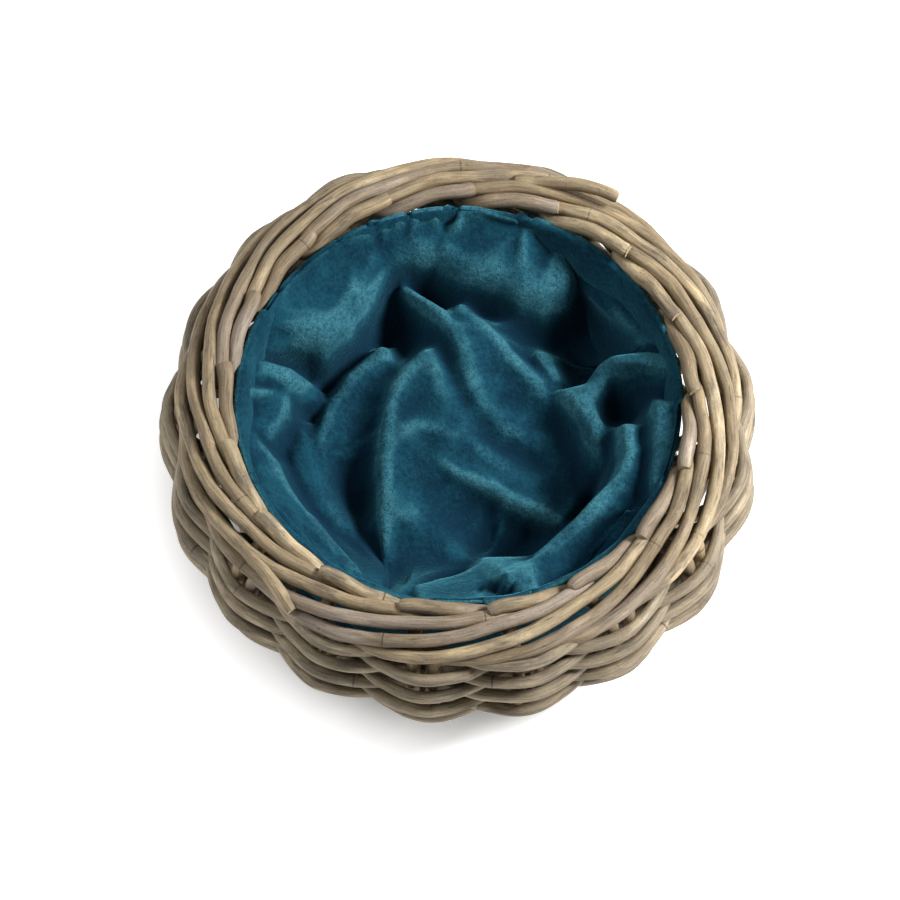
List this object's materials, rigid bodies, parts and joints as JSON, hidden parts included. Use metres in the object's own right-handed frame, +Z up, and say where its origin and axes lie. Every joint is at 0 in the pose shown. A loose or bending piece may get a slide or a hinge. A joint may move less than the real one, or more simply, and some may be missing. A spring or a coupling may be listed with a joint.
{
  "type": "wicker pet bed basket",
  "caption": "Low round nest basket for a small pet, woven from thick natural rattan rods with a rolled border, holding a loose teal fleece throw.",
  "frame": {"origin": "centre of the underside, on the floor", "axes": "+Z up, out of the opening; -Y towards the viewer; first stake pair 93.4 degrees round from +X"},
  "size_m": [0.3969, 0.3971, 0.1496],
  "materials": {
    "border_rattan": "matt, unpeeled grey kubu rattan",
    "weaver_rattan": "matt, unpeeled grey kubu rattan",
    "base_rattan": "matt, unpeeled grey kubu rattan",
    "teal_fleece": "soft short-pile fleece"
  },
  "bodies": {
    "basket": {"outer_stake_01": "border_rattan", "outer_stake_02": "border_rattan", "outer_stake_03": "border_rattan", "outer_stake_04": "border_rattan", "outer_stake_05": "border_rattan", "outer_stake_06": "border_rattan", "outer_stake_07": "border_rattan", "outer_stake_08": "border_rattan", "outer_stake_09": "border_rattan", "outer_stake_10": "border_rattan", "outer_stake_11": "border_rattan", "outer_stake_12": "border_rattan", "outer_stake_13": "border_rattan", "outer_stake_14": "border_rattan", "outer_stake_15": "border_rattan", "outer_stake_16": "border_rattan", "outer_stake_17": "border_rattan", "inner_stake_01": "border_rattan", "inner_stake_02": "border_rattan", "inner_stake_03": "border_rattan", "inner_stake_04": "border_rattan", "inner_stake_05": "border_rattan", "inner_stake_06": "border_rattan", "inner_stake_07": "border_rattan", "inner_stake_08": "border_rattan", "inner_stake_09": "border_rattan", "inner_stake_10": "border_rattan", "inner_stake_11": "border_rattan", "inner_stake_12": "border_rattan", "inner_stake_13": "border_rattan", "inner_stake_14": "border_rattan", "inner_stake_15": "border_rattan", "inner_stake_16": "border_rattan", "inner_stake_17": "border_rattan", "side_weaver_1": "weaver_rattan", "side_weaver_2": "weaver_rattan", "side_weaver_3": "weaver_rattan", "side_weaver_4": "weaver_rattan", "side_weaver_5": "weaver_rattan", "base_stick_1": "base_rattan", "base_stick_2": "base_rattan", "base_stick_3": "base_rattan", "base_stick_4": "base_rattan", "base_stick_5": "base_rattan", "base_stick_6": "base_rattan", "base_stick_7": "base_rattan", "base_stick_8": "base_rattan", "base_weaver_upper": "base_rattan", "base_weaver_lower": "base_rattan", "foot_rod": "base_rattan"},
    "throw": {"fleece_throw": "teal_fleece"}
  },
  "joints": [
    {"name": "throw_lift", "type": "slide", "parent": "basket", "child": "throw", "axis": [0, 0, 1], "range_m": [0, 0.2]}
  ]
}
